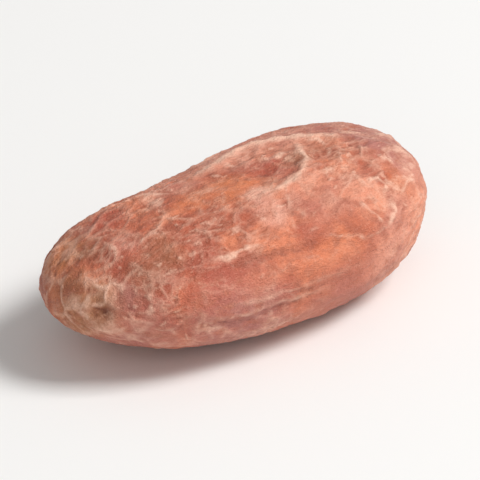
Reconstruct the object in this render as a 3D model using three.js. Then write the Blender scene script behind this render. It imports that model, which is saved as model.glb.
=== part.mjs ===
// A fermented and dried cocoa bean: one whole seed in its papery skin, lying on its broad side.
// Its long axis runs along X, from the hilum end at -X to the blunt end at +X, and +Z is up.
// The origin is under the middle of the bean, on the surface that it rests on.
// Lengths are in millimetres. A place on the skin is given as [x, angle]: x along the bean from
// its middle, and the angle round it in degrees, 0 on top, 90 on the +Y side and -90 on the -Y side.

import * as THREE from "three";
import { ImprovedNoise } from "three/addons/math/ImprovedNoise.js";
import { mergeVertices } from "three/addons/utils/BufferGeometryUtils.js";

// Overall size of the body, before its skin is wrinkled
const LENGTH = 24.9;
const WIDTH = 12.8;
const THICKNESS = 8.6;

// Outline of the body
const FULLNESS = 2.24; // exponent of the rounded form: 2 is an ellipsoid, and more is fuller
const BLUNTNESS = 0.08; // how much fuller the +X end is than the middle
const END_SWELL = 0.13; // how much thicker the +X end is than the middle
const SIDE_BOW = 0.6; // how far the middle bows towards -Y
const BELLY_DROP = 0.18; // how far the middle hangs below the two ends

// Small flat spot that the bean rests on
const FLAT_DEPTH = 0.2; // how much of the belly is pressed flat
const CALM_REACH = 1.4; // height over which the skin's relief fades in above the flat spot

// Faces of the skin: each of the 20 faces of an icosahedron is split this many times
const SPLITS = 19;

// Soft dents and swellings of the dried body
const DENTS = { height: 0.2, size: 6.5, layer: 1.3 };

// Long veins under the skin, from end to end
const VEINS = {
  count: 11,
  height: 0.15,
  width: 0.46,
  sway: 0.3,
  swayNoise: { length: 9, spacing: 3.7, layer: 0.5 },
  strengthNoise: { length: 5, spacing: 5.3, layer: 8.5 },
  strengthRange: [-0.35, 0.45], // noise where a stretch of vein is flat, and where it is at full height
  endRange: [1, 4.5], // distance from the long axis where veins start to rise, and where they are whole
};

// Wrinkled net between the veins, in cells that are longer than they are wide
const NET = {
  height: 0.1,
  cellLength: 3.4,
  cellWidth: 1.9,
  border: 0.2,
  patchSize: 7,
  patchLayer: 4.2,
  patchRange: [-0.35, 0.3], // noise where a patch of net is flat, and where it is at full height
};

// Start values of the random numbers that place each cell
const CELL_SEEDS = { x: 1013, y: 7919, z: 104729, start: 500000 };

// How folds are drawn: the share of a fold's length over which it rises from each of its two ends,
// and how many points lie along it for each point of its path
const FOLD_FADE = [-0.05, 0.2];
const FOLD_STEPS = 8;

// Ridges and creases that stand out one by one; a negative height is a crease
const FOLDS = [
  {
    name: "rim",
    height: 0.24,
    width: 0.45,
    path: [
      [-9, 46], [-5, 20], [-1.5, 17], [2.4, 25], [4.9, 18],
      [7, 4], [8.8, -14], [10.4, -34], [10.6, -58],
    ],
  },
  {
    name: "hollow lip",
    height: 0.2,
    width: 0.42,
    path: [[4.9, 9], [4.3, -6], [3.6, -17], [2, -23], [-0.4, -20]],
  },
  {
    name: "dimple wall",
    height: 0.13,
    width: 0.4,
    path: [[6.9, 2], [6.1, -14], [4.7, -24]],
  },
  {
    name: "upper end fold",
    height: 0.13,
    width: 0.42,
    path: [[8, -18], [7.1, -42], [6.7, -58], [5, -67], [1.6, -60]],
  },
  {
    name: "crease",
    height: -0.17,
    width: 0.42,
    path: [[-6, -58], [-3.1, -56], [-0.8, -58], [1.6, -64], [5.5, -72]],
  },
  {
    name: "fold above the crease",
    height: 0.12,
    width: 0.4,
    path: [[-6.4, -46], [-4.7, -49], [-2.8, -49]],
  },
  {
    name: "low crease",
    height: -0.14,
    width: 0.42,
    path: [[-8, -94], [-4.5, -101], [-1, -97], [2.5, -90]],
  },
  {
    name: "hilum end fold",
    height: 0.13,
    width: 0.44,
    path: [[-10.6, 30], [-9.6, 4], [-8.8, -22], [-8.6, -50], [-9, -68]],
  },
  {
    name: "hilum end branch",
    height: 0.1,
    width: 0.4,
    path: [[-11.4, -10], [-11.1, -30], [-10.5, -38], [-9.6, -30]],
  },
  {
    name: "low hilum fold",
    height: 0.13,
    width: 0.4,
    path: [[-12, -98], [-11.3, -107], [-10.6, -100]],
  },
  {
    name: "back fold",
    height: 0.16,
    width: 0.44,
    path: [[-8.6, 84], [-4, 76], [0.5, 82], [4.5, 74], [8.8, 80]],
  },
  {
    name: "back crease",
    height: -0.15,
    width: 0.42,
    path: [[-5.5, 108], [-1.5, 101], [3.2, 106], [6, 100]],
  },
];

// Places where the skin has sunk in; a stretch over 1 makes the place longer along X
const HOLLOWS = [
  { name: "waist", at: [-2.3, 52], depth: 0.58, size: 2.8, stretch: 1.6 },
  { name: "red hollow", at: [2, -5], depth: 0.3, size: 1.15, stretch: 1.3 },
  { name: "tail of the red hollow", at: [0.2, 2], depth: 0.14, size: 1.1, stretch: 1.3 },
  { name: "dimple", at: [5, -8], depth: 0.18, size: 0.8, stretch: 1 },
  { name: "back hollow", at: [-7.4, 84], depth: 0.16, size: 1.5, stretch: 1.3 },
  { name: "belly hollow", at: [3.4, 126], depth: 0.16, size: 1.6, stretch: 1.2 },
];

// Round scar where the bean hung in its pod: a raised ring with a sunken middle
const HILUM = {
  at: [-11.4, -68],
  radius: 0.78,
  ringHeight: 0.1,
  ringWidth: 0.34,
  pitDepth: 0.14,
  pitWidth: 0.5,
};

const SKIN_COLOUR = new THREE.Color(0.62, 0.24, 0.14);

// Distance under which two corners of the skin's faces are one, on a ball of radius 1
const SAME_POINT = 1e-4;

const noise = new ImprovedNoise();
const { smoothstep } = THREE.MathUtils;

// Repeatable noise from -1 to 1 that varies over about `size` millimetres
function softNoise(point, size, layer) {
  return noise.noise(point.x / size + layer, point.y / size, point.z / size - layer);
}

// Height of a rounded ridge of height 1 at a distance from its crest
function bump(distance, width) {
  return Math.exp(-((distance / width) ** 2));
}

// Repeatable noise from -1 to 1 along a vein, unlike that of its neighbours
function veinNoise(x, vein, { length, spacing, layer }) {
  return noise.noise(x / length, spacing * vein, layer);
}

// Place on the smooth body for a direction from its middle
function bodyPoint(direction) {
  const power = FULLNESS + BLUNTNESS * direction.x;
  const sum = direction.toArray().reduce((total, side) => total + Math.abs(side) ** power, 0);
  const unit = direction.clone().multiplyScalar(sum ** (-1 / power));
  const towardsMiddle = 1 - unit.x ** 2;
  return new THREE.Vector3(
    (LENGTH / 2) * unit.x,
    (WIDTH / 2) * unit.y - SIDE_BOW * towardsMiddle,
    (THICKNESS / 2) * unit.z * (1 + END_SWELL * unit.x) - BELLY_DROP * towardsMiddle,
  );
}

// Outward normal of the smooth body
function bodyNormal(direction) {
  const step = 1e-3;
  const helper = Math.abs(direction.x) > 0.9 ? new THREE.Vector3(0, 0, 1) : new THREE.Vector3(1, 0, 0);
  const across = new THREE.Vector3().crossVectors(direction, helper).normalize();
  const along = new THREE.Vector3().crossVectors(across, direction);
  const slope = (tangent) => {
    const ahead = bodyPoint(direction.clone().addScaledVector(tangent, step).normalize());
    return ahead.sub(bodyPoint(direction.clone().addScaledVector(tangent, -step).normalize()));
  };
  const normal = slope(along).cross(slope(across)).normalize();
  return normal.dot(direction) < 0 ? normal.negate() : normal;
}

// Direction from the middle to the place [x, angle] on the body
function directionAt([x, degrees]) {
  const angle = THREE.MathUtils.degToRad(degrees);
  const aim = (tilt) =>
    new THREE.Vector3(Math.tan(tilt), Math.sin(angle), Math.cos(angle)).multiplyScalar(Math.cos(tilt));
  let [low, high] = [-Math.PI / 2, Math.PI / 2];
  while (high - low > 1e-5) {
    const middle = (low + high) / 2;
    if (bodyPoint(aim(middle)).x < x) low = middle;
    else high = middle;
  }
  return aim((low + high) / 2);
}

const placeOnBody = (place) => bodyPoint(directionAt(place));

// A fold's path as points on the body, close enough together to measure distances from
function tracePath(path) {
  const curve = new THREE.CatmullRomCurve3(path.map(([x, angle]) => new THREE.Vector3(x, angle, 0)));
  return curve.getPoints(FOLD_STEPS * path.length).map((p) => placeOnBody([p.x, p.y]));
}

// Shortest distance from a point to a line of points, and how far along the line that is, from 0 to 1
function nearestOnLine(point, line) {
  const nearest = { distance: Infinity, share: 0 };
  const piece = new THREE.Line3();
  const foot = new THREE.Vector3();
  for (let i = 1; i < line.length; i++) {
    piece.set(line[i - 1], line[i]);
    piece.closestPointToPoint(point, true, foot);
    const distance = foot.distanceTo(point);
    if (distance < nearest.distance) {
      nearest.distance = distance;
      nearest.share = (i - 1 + piece.closestPointToPointParameter(point, true)) / (line.length - 1);
    }
  }
  return nearest;
}

const foldLines = FOLDS.map((fold) => ({ ...fold, line: tracePath(fold.path) }));
const hollowPlaces = HOLLOWS.map((hollow) => ({ ...hollow, centre: placeOnBody(hollow.at) }));
const hilumCentre = placeOnBody(HILUM.at);

// Single ridges and creases, each fading out towards its two ends
function foldHeight(point) {
  return foldLines.reduce((height, fold) => {
    const { distance, share } = nearestOnLine(point, fold.line);
    const fade = smoothstep(Math.min(share, 1 - share), ...FOLD_FADE);
    return height + fold.height * fade * bump(distance, fold.width);
  }, 0);
}

function hollowDepth(point) {
  return hollowPlaces.reduce((depth, hollow) => {
    const offset = point.clone().sub(hollow.centre);
    const distance = Math.hypot(offset.x / hollow.stretch, offset.y, offset.z);
    return depth + hollow.depth * bump(distance, hollow.size);
  }, 0);
}

function hilumHeight(point) {
  const distance = point.distanceTo(hilumCentre);
  const ring = HILUM.ringHeight * bump(distance - HILUM.radius, HILUM.ringWidth);
  return ring - HILUM.pitDepth * bump(distance, HILUM.pitWidth);
}

// Veins sway as they run from end to end, and each is stronger in some stretches than in others
function veinHeight(point, angle) {
  const reach = Math.hypot(point.y + SIDE_BOW, point.z);
  const endFade = smoothstep(reach, ...VEINS.endRange);
  let height = 0;
  for (let vein = 0; vein < VEINS.count; vein++) {
    const sway = VEINS.sway * veinNoise(point.x, vein, VEINS.swayNoise);
    const veinAngle = (2 * Math.PI * vein) / VEINS.count + 2 * sway;
    const turn = Math.atan2(Math.sin(angle - veinAngle), Math.cos(angle - veinAngle));
    const strength = smoothstep(veinNoise(point.x, vein, VEINS.strengthNoise), ...VEINS.strengthRange);
    height += VEINS.height * strength * bump(turn * reach, VEINS.width);
  }
  return height * endFade;
}

// Repeatable place of a cell's centre, jittered inside the cell
function cellCentre(i, j, k) {
  const jitter = () => THREE.MathUtils.seededRandom();
  THREE.MathUtils.seededRandom(CELL_SEEDS.x * i + CELL_SEEDS.y * j + CELL_SEEDS.z * k + CELL_SEEDS.start);
  return new THREE.Vector3(i + jitter(), j + jitter(), k + jitter());
}

// Ridges along the borders between neighbouring cells, in patches
function netHeight(point) {
  const cell = new THREE.Vector3(NET.cellLength, NET.cellWidth, NET.cellWidth);
  const scaled = point.clone().divide(cell);
  const [i, j, k] = scaled.toArray().map(Math.floor);
  const distances = [];
  for (let di = -1; di <= 1; di++)
    for (let dj = -1; dj <= 1; dj++)
      for (let dk = -1; dk <= 1; dk++) distances.push(scaled.distanceTo(cellCentre(i + di, j + dj, k + dk)));
  distances.sort((a, b) => a - b);
  const patch = smoothstep(softNoise(point, NET.patchSize, NET.patchLayer), ...NET.patchRange);
  return NET.height * patch * bump(distances[1] - distances[0], NET.border);
}

// Whole relief of the skin, calm where the belly meets the surface that it rests on
function reliefHeight(point, direction, floor) {
  const angle = Math.atan2(direction.y, direction.z);
  const raised = veinHeight(point, angle) + netHeight(point) + foldHeight(point) + hilumHeight(point);
  const relief = raised + DENTS.height * softNoise(point, DENTS.size, DENTS.layer) - hollowDepth(point);
  return relief * smoothstep(point.z, floor, floor + CALM_REACH);
}

function makeBean() {
  const sphere = new THREE.IcosahedronGeometry(1, SPLITS);
  sphere.deleteAttribute("normal");
  sphere.deleteAttribute("uv");
  const skin = mergeVertices(sphere, SAME_POINT);
  const position = skin.getAttribute("position");
  const floor = bodyPoint(new THREE.Vector3(0, 0, -1)).z + FLAT_DEPTH;
  const direction = new THREE.Vector3();
  for (let i = 0; i < position.count; i++) {
    direction.fromBufferAttribute(position, i).normalize();
    const point = bodyPoint(direction);
    point.addScaledVector(bodyNormal(direction), reliefHeight(point, direction, floor));
    position.setXYZ(i, point.x, point.y, Math.max(point.z, floor));
  }
  skin.computeBoundingBox();
  const middle = skin.boundingBox.getCenter(new THREE.Vector3());
  skin.translate(-middle.x, -middle.y, -skin.boundingBox.min.z);
  skin.computeVertexNormals();
  const material = new THREE.MeshStandardMaterial({ color: SKIN_COLOUR, roughness: 0.75, metalness: 0 });
  const bean = new THREE.Mesh(skin, material);
  bean.name = "bean";
  return bean;
}

const cocoaBean = new THREE.Group();
cocoaBean.add(makeBean());

export default cocoaBean;
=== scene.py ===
"""A fermented cocoa bean that lies on a pale floor in soft studio light."""

import logging
import math
from dataclasses import dataclass, field
from enum import Enum
from typing import Sequence

import bmesh
import bpy
import numpy as np
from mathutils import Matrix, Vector, noise
from mathutils.bvhtree import BVHTree


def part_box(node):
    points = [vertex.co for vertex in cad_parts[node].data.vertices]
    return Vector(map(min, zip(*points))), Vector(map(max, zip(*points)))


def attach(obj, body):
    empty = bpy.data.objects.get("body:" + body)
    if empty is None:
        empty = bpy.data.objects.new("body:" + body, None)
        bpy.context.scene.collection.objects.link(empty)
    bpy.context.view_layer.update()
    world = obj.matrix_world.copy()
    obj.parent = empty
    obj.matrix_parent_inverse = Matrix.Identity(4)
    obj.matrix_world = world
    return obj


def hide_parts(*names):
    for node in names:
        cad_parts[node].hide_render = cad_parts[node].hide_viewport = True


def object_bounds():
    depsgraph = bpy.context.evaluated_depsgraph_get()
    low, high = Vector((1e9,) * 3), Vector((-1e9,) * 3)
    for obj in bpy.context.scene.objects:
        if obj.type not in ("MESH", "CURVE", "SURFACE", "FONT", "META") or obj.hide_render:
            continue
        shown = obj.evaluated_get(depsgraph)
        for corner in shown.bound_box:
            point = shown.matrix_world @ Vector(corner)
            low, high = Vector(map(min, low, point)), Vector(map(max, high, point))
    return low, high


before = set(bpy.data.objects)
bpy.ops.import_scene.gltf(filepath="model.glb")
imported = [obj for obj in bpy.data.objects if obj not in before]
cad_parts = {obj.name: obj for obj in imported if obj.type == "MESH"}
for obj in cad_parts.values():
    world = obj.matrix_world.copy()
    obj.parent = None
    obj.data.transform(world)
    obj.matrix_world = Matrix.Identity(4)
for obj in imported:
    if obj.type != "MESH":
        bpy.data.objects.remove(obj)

CAD_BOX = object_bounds()
MM = 0.001
NODE = "bean"

log = logging.getLogger("cocoa_bean")

Place = tuple[float, float]
Size = tuple[float, float, float]
Colour = tuple[float, float, float, float]
Limits = tuple[float, float]
Socket = bpy.types.NodeSocket

# Standard curve that turns the levels of a screen's colours into amounts of light
SCREEN_CURVE = {"foot": 0.04045, "slope": 12.92, "offset": 0.055, "power": 2.4}

# How far apart the patterns of noise and of cells lie, so that each pattern is unlike the others
NOISE_STEP = 17.31
CELL_STEP = 11.7

# How quickly the copies in layered noise get weaker, and how much finer each is than the one before
OCTAVE_FALL = 0.9
OCTAVE_RATIO = 2.1

# How steep wrinkles are, and how round their crests
WRINKLE_SLOPE = 2.2
WRINKLE_ROUNDING = 0.15

# Share of an edge's length that runs along an axis when the edge counts as parallel to it
PARALLEL = 0.99

# Least square of a line's length, in square millimetres, which keeps divisions from failing
SHORTEST = 1e-9


def srgb(red: int, green: int, blue: int) -> Colour:
    """Turns a colour as a screen shows it into the linear colour that a shader takes.

    Args:
        red: Red, from 0 to 255.
        green: Green, from 0 to 255.
        blue: Blue, from 0 to 255.

    Returns:
        The linear colour with full opacity.
    """
    def linear(level: int) -> float:
        """Turns one level of a screen into an amount of light.

        Args:
            level: The level, from 0 to 255.

        Returns:
            The amount, from 0 to 1.
        """
        share = level / 255
        if share <= SCREEN_CURVE["foot"]:
            return share / SCREEN_CURVE["slope"]
        offset = SCREEN_CURVE["offset"]
        return ((share + offset) / (1 + offset)) ** SCREEN_CURVE["power"]

    return linear(red), linear(green), linear(blue), 1.0


@dataclass(frozen=True)
class Span:
    """Values over which something fades in: nothing of it at the start, and all of it at the end."""

    start: float
    end: float

    def share(self, values: np.ndarray) -> np.ndarray:
        """Reads how much of it there is.

        Args:
            values: The values to read.

        Returns:
            A share for each value, which rises smoothly from 0 to 1.
        """
        share = np.clip((values - self.start) / (self.end - self.start), 0.0, 1.0)
        return share * share * (3 - 2 * share)


def at_least(least: float, share: np.ndarray) -> np.ndarray:
    """Lifts shares so that 0 becomes a given least share and 1 stays 1.

    Args:
        least: What a share of 0 becomes.
        share: The shares, from 0 to 1.

    Returns:
        The lifted shares.
    """
    return least + (1 - least) * share


def ridge(distance: np.ndarray, width: float) -> np.ndarray:
    """Height of a rounded ridge of height 1 at a distance from its crest.

    Args:
        distance: Distance from the crest.
        width: Distance at which the ridge has fallen to about a third.

    Returns:
        A height from 0 to 1 for each distance.
    """
    return np.exp(-((distance / width) ** 2))


def select_only(piece: bpy.types.Object) -> None:
    """Selects one object alone and makes it the active one.

    Args:
        piece: The object.
    """
    bpy.ops.object.select_all(action="DESELECT")
    piece.select_set(True)
    bpy.context.view_layer.objects.active = piece


class Mask(Enum):
    """Shares from 0 to 1 that are stored on the skin's points and read by its finish."""

    CREST = "crest"
    CREASE = "crease"
    FILM = "film"
    LINE = "line"
    ORANGE = "orange"
    RED = "red"
    UMBER = "umber"
    MAUVE = "mauve"
    OLIVE = "olive"
    PALE = "pale"
    SMOOTH = "smooth"


@dataclass(frozen=True)
class Noise:
    """Soft noise in space: the size of its blobs along X, Y and Z in millimetres, and which pattern it is."""

    size: Size
    pattern: float
    octaves: int = 1

    def at(self, points: np.ndarray, number: float = 0.0) -> np.ndarray:
        """Reads the noise.

        Args:
            points: Points in millimetres, one in each row.
            number: Is added to the pattern, so that each number gives noise of its own.

        Returns:
            A value from about -1 to 1 for each point.
        """
        scaled = points / np.asarray(self.size) + (self.pattern + number) * NOISE_STEP
        places = [Vector(point) for point in scaled]
        if self.octaves == 1:
            return np.array([noise.noise(place) for place in places])
        return np.array([noise.fractal(place, OCTAVE_FALL, OCTAVE_RATIO, self.octaves) for place in places])

    def wrinkles(self, points: np.ndarray) -> np.ndarray:
        """Reads the noise as wrinkles with narrow crests, from -1 in the valleys to 1 on the crests."""
        return 1 - 2 * np.minimum(np.hypot(WRINKLE_SLOPE * self.at(points), WRINKLE_ROUNDING), 1.0)


@dataclass(frozen=True)
class Clouds:
    """Patches with soft edges, where soft noise is high."""

    noise: Noise
    edge: Span

    def share(self, points: np.ndarray, number: float = 0.0) -> np.ndarray:
        """Reads the patches.

        Args:
            points: Points in millimetres, one in each row.
            number: Is added to the noise's pattern.

        Returns:
            A share for each point, from 0 outside the patches to 1 inside them.
        """
        return self.edge.share(self.noise.at(points, number))


@dataclass(frozen=True)
class Sway:
    """Noise that pushes points about, so that lines read at them sway; lengths are in millimetres."""

    amount: float
    size: float
    pattern: float
    octaves: int = 1

    def push(self, points: np.ndarray) -> np.ndarray:
        """Finds how far each point is pushed.

        Args:
            points: Points in millimetres, one in each row.

        Returns:
            The push of each point along X, Y and Z, one in each row.
        """
        blobs = Noise((self.size, self.size, self.size), self.pattern, self.octaves)
        return self.amount * np.stack([blobs.at(points, side) for side in range(3)], axis=1)


@dataclass(frozen=True)
class Cells:
    """Irregular cells that fill space: their size along X, Y and Z in millimetres, and their pattern."""

    size: Size
    pattern: float

    def read(self, points: np.ndarray) -> tuple[np.ndarray, np.ndarray]:
        """Measures where each point lies in its cell.

        Args:
            points: Points in millimetres, one in each row.

        Returns:
            How far each point is from the border between two cells, and how far from its own cell's
            centre, both as shares of a cell.
        """
        scaled = points / np.asarray(self.size) + self.pattern * CELL_STEP
        found = np.array([noise.voronoi(Vector(point))[0][:2] for point in scaled])
        return found[:, 1] - found[:, 0], found[:, 0]


@dataclass(frozen=True)
class BodyForm:
    """Smooth form of the bean under its wrinkles, which gives each place on the skin its name.

    A place is (x, angle): x in millimetres along the bean from its middle, towards the blunt end, and the
    angle round it in degrees, 0 on top, 90 on the +Y side and -90 on the -Y side. The spans tell how far
    from the middle the ends begin: both of them, and then each of the two alone.
    """

    length: float = 24.9
    width: float = 12.8
    thickness: float = 8.6
    end_swell: float = 0.13
    side_bow: float = 0.6
    belly_drop: float = 0.18
    middle: Size = (-0.01, 0.6, 4.28)
    ends: Span = Span(4.5, 10.0)
    hilum_end: Span = Span(6.0, 10.5)
    blunt_end: Span = Span(7.0, 11.0)

    def section(self, x: np.ndarray) -> tuple[np.ndarray, np.ndarray, np.ndarray, np.ndarray]:
        """Reads the cross-section at x.

        Args:
            x: Places along the bean, in millimetres.

        Returns:
            The section's middle in Y and in Z, and its half width and half thickness at full size.
        """
        share = np.clip((x - self.middle[0]) / (self.length / 2), -1.0, 1.0)
        inwards = 1 - share ** 2
        middle_y = self.middle[1] - self.side_bow * inwards
        middle_z = self.middle[2] - self.belly_drop * inwards
        half_width = np.full_like(share, self.width / 2)
        return middle_y, middle_z, half_width, self.thickness / 2 * (1 + self.end_swell * share)

    def angles(self, points: np.ndarray) -> tuple[np.ndarray, np.ndarray]:
        """Finds how far round the bean each point lies.

        Args:
            points: Points in millimetres, one in each row.

        Returns:
            The angle of each point in radians, and its distance from the long axis.
        """
        middle_y, middle_z, half_width, half_thickness = self.section(points[:, 0])
        across = points[:, 1] - middle_y
        up = points[:, 2] - middle_z
        return np.arctan2(across / half_width, up / half_thickness), np.hypot(across, up)


@dataclass(frozen=True)
class Stroke:
    """A thin line along the skin: a crest of dried pulp, or, where its height is negative, a sunken line
    darkened with painted shade.

    Whole tells how much of the line shows even where it is worn away, from 0 to 1.
    """

    name: str
    path: Sequence[Place]
    width: float = 0.15
    height: float = 0.06
    drawn: float = 0.6
    whole: float = 0.3


@dataclass(frozen=True)
class Hand:
    """How strokes are drawn: how ragged they are, how their width varies, and where they are worn away.

    Follow is how far they go along with the sway of the skin's other lines, and reach is how many widths
    away from a stroke nothing of it is left. A stroke has a wide and low foot under its crest. Steps is
    how many points its path gets for each place that is named, and rounding is how often it is smoothed.
    """

    ragged: Sway = Sway(0.11, 0.5, 21.0, 2)
    follow: float = 0.4
    reach: float = 5.0
    end_fade: Span = Span(0.0, 0.3)
    foot_width: float = 2.2
    foot_share: float = 0.3
    width_noise: Noise = Noise((0.8, 0.8, 0.8), 60.0)
    width_middle: float = 0.8
    width_spread: float = 0.9
    width_limits: Limits = (0.4, 1.4)
    unworn: Clouds = Clouds(Noise((0.7, 0.7, 0.7), 90.0, 2), Span(-0.45, 0.1))
    steps: int = 10
    rounding: int = 6


@dataclass(frozen=True)
class Hilum:
    """Round scar where the bean hung in its pod: a pale raised ring round a darker middle."""

    at: Place = (-11.4, -68)
    radius: float = 0.78
    ring_width: float = 0.26
    ring_height: float = 0.04
    ring_drawn: float = 0.32
    ring_unworn: Clouds = Clouds(Noise((0.8, 0.8, 0.8), 80.0, 2), Span(-0.5, 0.3))
    middle_width: float = 0.5
    middle_drawn: float = 0.12


@dataclass(frozen=True)
class Patch:
    """A place where the skin takes on a tint, and the patch's size in millimetres."""

    at: Place
    size: float
    strength: float = 1.0


# Distances from a patch's middle where its tint starts and where it is whole, as shares of its size
PATCH_EDGE = Span(1.5, 0.4)

STROKES = (
    Stroke("rim crest", ((-2.6, 16), (-1.5, 17), (2.4, 25), (4.9, 18), (6.9, 4), (8, -4)),
           width=0.4, height=0.05, drawn=1, whole=0.8),
    Stroke("rim's far end", ((-9, 46), (-5, 20), (-1.5, 17)), width=0.2, height=0.05, drawn=0.7),
    Stroke("hollow lip", ((5.2, 17), (4.7, 5), (3.9, -9), (2.9, -18), (0.6, -21), (-0.9, -12)),
           width=0.32, height=0.12, drawn=1, whole=0.85),
    Stroke("hollow curl", ((1.9, 10), (2.8, 3), (3.9, 5)), width=0.19, drawn=1, whole=0.6),
    Stroke("dimple wall", ((5.0, 11), (6.2, 5), (6.0, -10), (4.4, -15)),
           width=0.2, height=0.07, drawn=0.9, whole=0.7),
    Stroke("drop line", ((1.1, -22), (0.6, -34), (-0.1, -50)), width=0.16, height=0.03, drawn=0.55),
    Stroke("shoulder line", ((6.3, -10), (5.4, -26), (6.0, -39)), height=0.03, drawn=0.5),
    Stroke("first curl", ((5.8, -42), (6.7, -38), (7.3, -45), (6.6, -53)), width=0.17, drawn=1, whole=0.6),
    Stroke("end curl", ((9.8, -22), (10.4, -26), (10.7, -35)), width=0.18, height=0.05, drawn=1, whole=0.6),
    Stroke("end tick", ((8.0, -27), (8.7, -31), (8.9, -38)), width=0.18, height=0.05, drawn=1, whole=0.6),
    Stroke("second curl", ((6.7, -55), (7.3, -64), (6.3, -72), (4.8, -70)),
           width=0.18, height=0.07, drawn=1, whole=0.6),
    Stroke("third curl", ((4.7, -48), (5.4, -57), (6.0, -68)), width=0.16, height=0.05, drawn=0.9, whole=0.5),
    Stroke("flank line", ((1.4, -56), (3.6, -66), (5.6, -73)), height=0.03, drawn=0.5),
    Stroke("fold above the crease", ((-6.2, -45), (-4.6, -48), (-3.6, -46), (-1.8, -48)),
           width=0.2, height=0.07, drawn=1, whole=0.5),
    Stroke("hilum end curl", ((-9.0, 6), (-9.2, -8), (-9.5, -18), (-10.3, -16)),
           width=0.18, height=0.08, drawn=1, whole=0.6),
    Stroke("hilum end tick", ((-8.2, -15), (-7.2, -12), (-6.4, -15)), height=0.05, drawn=0.8, whole=0.5),
    Stroke("top tick", ((-3.8, 11), (-4.6, 16), (-5.8, 17)), height=0.05, drawn=0.9, whole=0.5),
    Stroke("hilum end hook", ((-11.4, -10), (-11.1, -29), (-11.0, -40), (-10.5, -38), (-9.9, -32)),
           width=0.2, drawn=0.9, whole=0.7),
    Stroke("upright line", ((-11.5, -36), (-11.8, -52), (-12.0, -72)),
           width=0.22, height=0.05, drawn=0.8, whole=0.6),
    Stroke("left line", ((-12.4, -44), (-12.3, -65), (-12.0, -77), (-11.8, -98)),
           width=0.16, height=0.05, drawn=0.8, whole=0.5),
    Stroke("low hilum fold", ((-12.0, -98), (-11.3, -107), (-10.9, -104), (-10.3, -97)),
           width=0.22, drawn=1, whole=0.7),
    Stroke("side line", ((-9.0, -50), (-9.2, -60), (-9.4, -75), (-10.1, -83), (-9.8, -100)),
           width=0.2, height=0.04, drawn=0.8, whole=0),
    Stroke("low flank line", ((-8.0, -87), (-4.5, -95), (-1.7, -93), (2.5, -98)),
           width=0.19, height=0.05, whole=0.5),
    Stroke("upper flank line", ((-6.5, -80), (-3, -86), (0.5, -84), (5, -90)),
           width=0.18, height=0.03, drawn=0.4, whole=0.5),
    Stroke("back fold", ((-8.6, 84), (-4, 76), (0.5, 82), (4.5, 74), (8.8, 80)),
           width=0.16, height=0.08, drawn=0.8),
    Stroke("back branch", ((-4.2, 77), (-2.6, 96), (0.2, 112), (1.4, 128)), drawn=0.7),
    Stroke("back curl", ((6.3, 96), (7.6, 99), (8.0, 111), (6.9, 118)), width=0.16, height=0.07, drawn=0.9),
    Stroke("back tick", ((-8.0, 112), (-7.0, 118), (-5.8, 116)), drawn=0.8),
    Stroke("blunt end line", ((10.3, 92), (11.3, 40), (11.2, -20), (10.4, -60)), width=0.16, drawn=0.7),
    Stroke("belly line", ((-9.4, 172), (-6.4, 150), (-2.6, 141)), width=0.16),
    # Painted shade: the strokes of negative height below are sunken lines that are darkened as if shade fell
    # in them.
    Stroke("crease", ((-6.2, -49), (-3.9, -55), (-3.0, -55), (-1.8, -57), (0.4, -60), (2.6, -61)),
           width=0.24, height=-0.06, drawn=0.45),
    Stroke("low crease", ((-8.4, -93), (-4.5, -101), (-1, -97), (3, -89)),
           width=0.22, height=-0.03, drawn=0.22),
    Stroke("back crease", ((-6, 109), (-1.5, 101), (3.2, 106), (6.5, 99)),
           width=0.22, height=-0.06, drawn=0.4),
    Stroke("hollow edge", ((-1.4, 7), (1.2, 13), (3.0, 12), (4.7, 6)), width=0.22, height=-0.07, drawn=0.5),
    Stroke("hollow foot", ((-0.4, -9), (1.8, -15), (3.0, -12), (3.7, -2)), width=0.22, height=-0.07),
    Stroke("dark nick", ((0.2, -36), (0.8, -41), (1.8, -40)), width=0.2, height=-0.04, drawn=0.5),
)

# Most patches are the skin's own tints; those marked below paint light or shade instead.
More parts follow.
